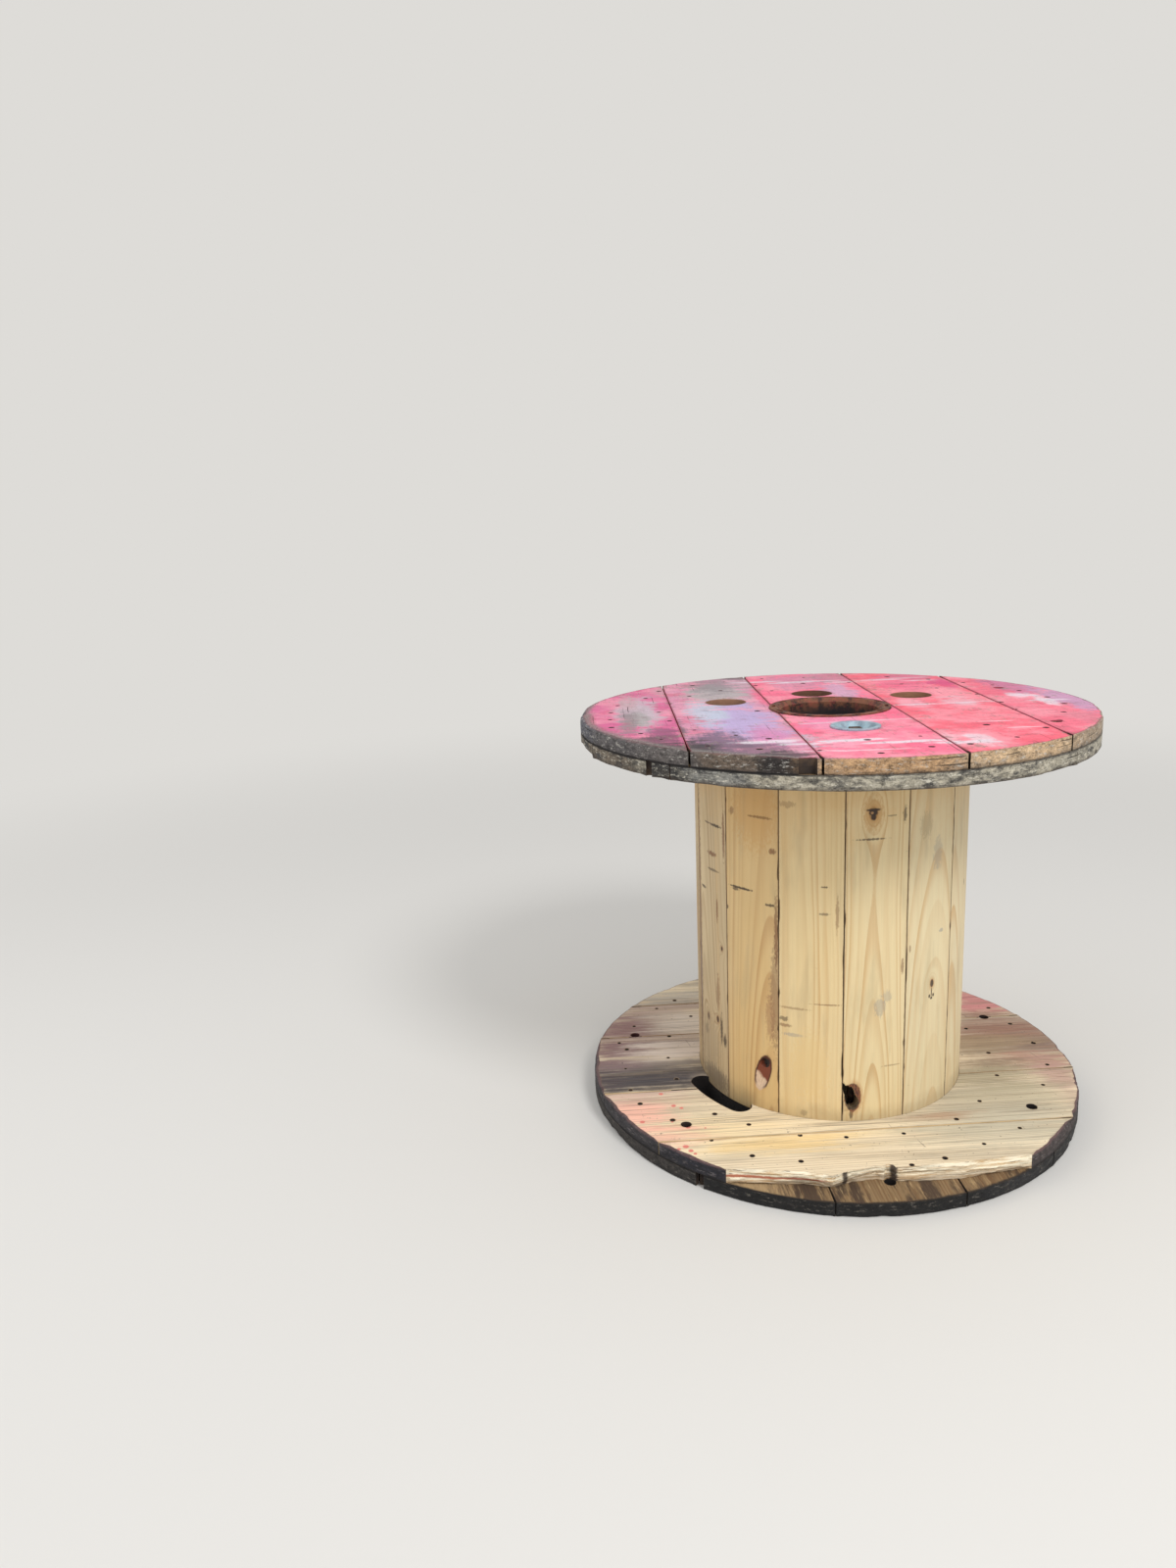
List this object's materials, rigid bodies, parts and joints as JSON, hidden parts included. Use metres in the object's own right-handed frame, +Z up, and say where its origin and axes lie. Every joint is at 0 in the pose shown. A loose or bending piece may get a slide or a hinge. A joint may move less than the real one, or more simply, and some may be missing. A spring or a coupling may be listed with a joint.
{
  "type": "wooden cable drum",
  "caption": "Wooden cable drum: two crossed-board flanges clamped by tie rods onto a barrel of staves, with a steel-bushed arbor hole, for winding cable.",
  "frame": {"origin": "on the drum's axis at the floor, under the lower flange", "axes": "+Z up the drum's axis, the drum's front towards -Y"},
  "size_m": [0.9144, 0.9144, 0.7471],
  "materials": {
    "top_outer_wood": "worn pink-red paint on rough-sawn softwood",
    "top_inner_wood": "rough-sawn softwood, weathered at the rim",
    "bottom_inner_wood": "rough-sawn softwood, pale, with traces of paint at the rim",
    "bottom_outer_wood": "rough-sawn softwood, dark with damp",
    "stave_wood": "planed softwood staves",
    "bushing_steel": "pressed steel, rusted, with traces of paint",
    "rod_steel": "plain steel rod, lightly rusted",
    "fastener_steel": "plain steel, rusted",
    "zinc_steel": "zinc-plated pressed steel, dull"
  },
  "bodies": {
    "root": {"top_outer_board_1": "top_outer_wood", "top_outer_board_2": "top_outer_wood", "top_outer_board_3": "top_outer_wood", "top_outer_board_4": "top_outer_wood", "top_outer_board_5": "top_outer_wood", "top_inner_board_1": "top_inner_wood", "top_inner_board_2": "top_inner_wood", "top_inner_board_3": "top_inner_wood", "top_inner_board_4": "top_inner_wood", "top_inner_board_5": "top_inner_wood", "bottom_inner_board_1": "bottom_inner_wood", "bottom_inner_board_2": "bottom_inner_wood", "bottom_inner_board_3": "bottom_inner_wood", "bottom_inner_board_4": "bottom_inner_wood", "bottom_inner_board_5": "bottom_inner_wood", "bottom_outer_board_1": "bottom_outer_wood", "bottom_outer_board_2": "bottom_outer_wood", "bottom_outer_board_3": "bottom_outer_wood", "bottom_outer_board_4": "bottom_outer_wood", "bottom_outer_board_5": "bottom_outer_wood", "stave_01": "stave_wood", "stave_02": "stave_wood", "stave_03": "stave_wood", "stave_04": "stave_wood", "stave_05": "stave_wood", "stave_06": "stave_wood", "stave_07": "stave_wood", "stave_08": "stave_wood", "stave_09": "stave_wood", "stave_10": "stave_wood", "stave_11": "stave_wood", "stave_12": "stave_wood", "stave_13": "stave_wood", "stave_14": "stave_wood", "bushing_top": "bushing_steel", "bushing_bottom": "bushing_steel", "tie_rod_1": "rod_steel", "washer_bottom_1": "fastener_steel", "nut_bottom_1": "fastener_steel", "nut_top_1": "fastener_steel", "tie_rod_2": "rod_steel", "washer_bottom_2": "fastener_steel", "nut_bottom_2": "fastener_steel", "nut_top_2": "fastener_steel", "washer_top_2": "fastener_steel", "tie_rod_3": "rod_steel", "washer_bottom_3": "fastener_steel", "nut_bottom_3": "fastener_steel", "nut_top_3": "fastener_steel", "washer_top_3": "fastener_steel", "dished_washer": "zinc_steel"}
  },
  "joints": []
}
